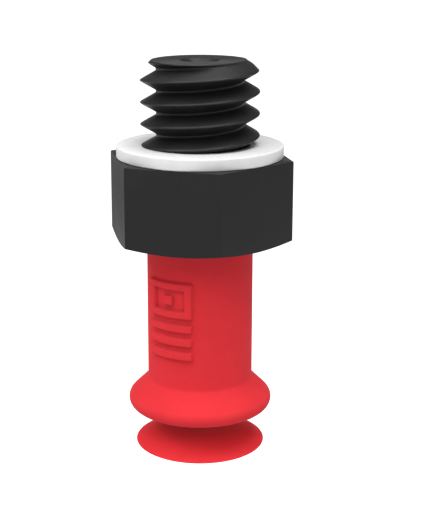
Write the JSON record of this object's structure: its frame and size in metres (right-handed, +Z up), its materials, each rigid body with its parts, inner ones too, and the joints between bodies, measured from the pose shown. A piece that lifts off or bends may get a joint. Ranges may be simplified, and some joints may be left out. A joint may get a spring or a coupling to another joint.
{
  "type": "vacuum suction cup",
  "caption": "Small red bellows suction cup pushed onto a black threaded hexagon fitting with a white sealing washer, for picking up light parts by vacuum.",
  "frame": {"origin": "on the axis, in the washer's top face, which seals against the machine; it is also the lower edge of the lowest thread crest", "axes": "+Z up along the thread, away from the cup; two hexagon corners lie on the X axis and two flats face -Y and +Y"},
  "size_m": [0.008, 0.007, 0.0166],
  "materials": {
    "black_anodised": "matte black anodised",
    "white_washer": "matte",
    "red_silicone": "matte"
  },
  "bodies": {
    "fitting": {"threaded_fitting": "black_anodised"},
    "washer": {"sealing_washer": "white_washer"},
    "neck": {"cup_neck": "red_silicone", "bellows_fold": "red_silicone"},
    "waist": {"waist_ring": "red_silicone"},
    "throat": {"lip_throat": "red_silicone"},
    "lip": {"sealing_lip": "red_silicone"}
  },
  "joints": [
    {"name": "washer_turn", "type": "hinge", "parent": "fitting", "child": "washer", "pos_m": [0, 0, -0.00025], "axis": [0, 0, 1], "continuous": true},
    {"name": "cup_twist", "type": "hinge", "parent": "fitting", "child": "neck", "pos_m": [0, 0, -0.0066], "axis": [0, 0, 1], "continuous": true},
    {"name": "bellows_compress", "type": "slide", "parent": "neck", "child": "waist", "axis": [0, 0, 1], "range_m": [0, 0.001], "stiffness_N_per_m": 300, "deforming": ["bellows_fold"]},
    {"name": "lip_tilt_x", "type": "hinge", "parent": "waist", "child": "throat", "pos_m": [0, 0, -0.01205], "axis": [1, 0, 0], "range_deg": [-10, 10], "stiffness_Nm_per_rad": 0.0008},
    {"name": "lip_tilt_y", "type": "hinge", "parent": "throat", "child": "lip", "pos_m": [0, 0, -0.01205], "axis": [0, 1, 0], "range_deg": [-10, 10], "stiffness_Nm_per_rad": 0.0008}
  ]
}
